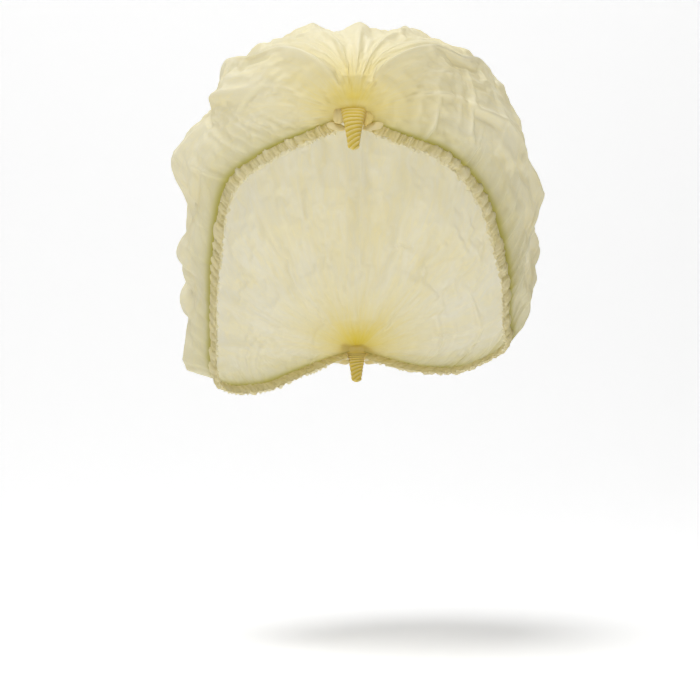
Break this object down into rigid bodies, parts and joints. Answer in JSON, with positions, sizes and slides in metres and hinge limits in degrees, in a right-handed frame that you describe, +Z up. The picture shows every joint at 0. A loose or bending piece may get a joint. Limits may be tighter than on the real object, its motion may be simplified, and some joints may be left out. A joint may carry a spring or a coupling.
{
  "type": "disposable hair cover cap",
  "caption": "Pleated non-woven hair cover cap in worn form, hollow and open below, gathered into a small welded tab at front and back, with ruffled elastic hems.",
  "frame": {"origin": "under the cloth at the top of the crown, where the cap rests on a head", "axes": "+Z up, -Y to the front of the cap, +X to the right of the cap seen from the front"},
  "size_m": [0.1952, 0.215, 0.1967],
  "materials": {
    "nonwoven_cloth": "thin pale yellow spunbond polypropylene, slightly see-through",
    "hem_cloth": "the same cloth folded over the elastic and gathered",
    "welded_cloth": "stacked pleats pressed together by welding"
  },
  "bodies": {
    "root": {"crown": "nonwoven_cloth", "hem_left": "hem_cloth", "hem_right": "hem_cloth", "front_tab": "welded_cloth", "rear_tab": "welded_cloth"}
  },
  "joints": []
}
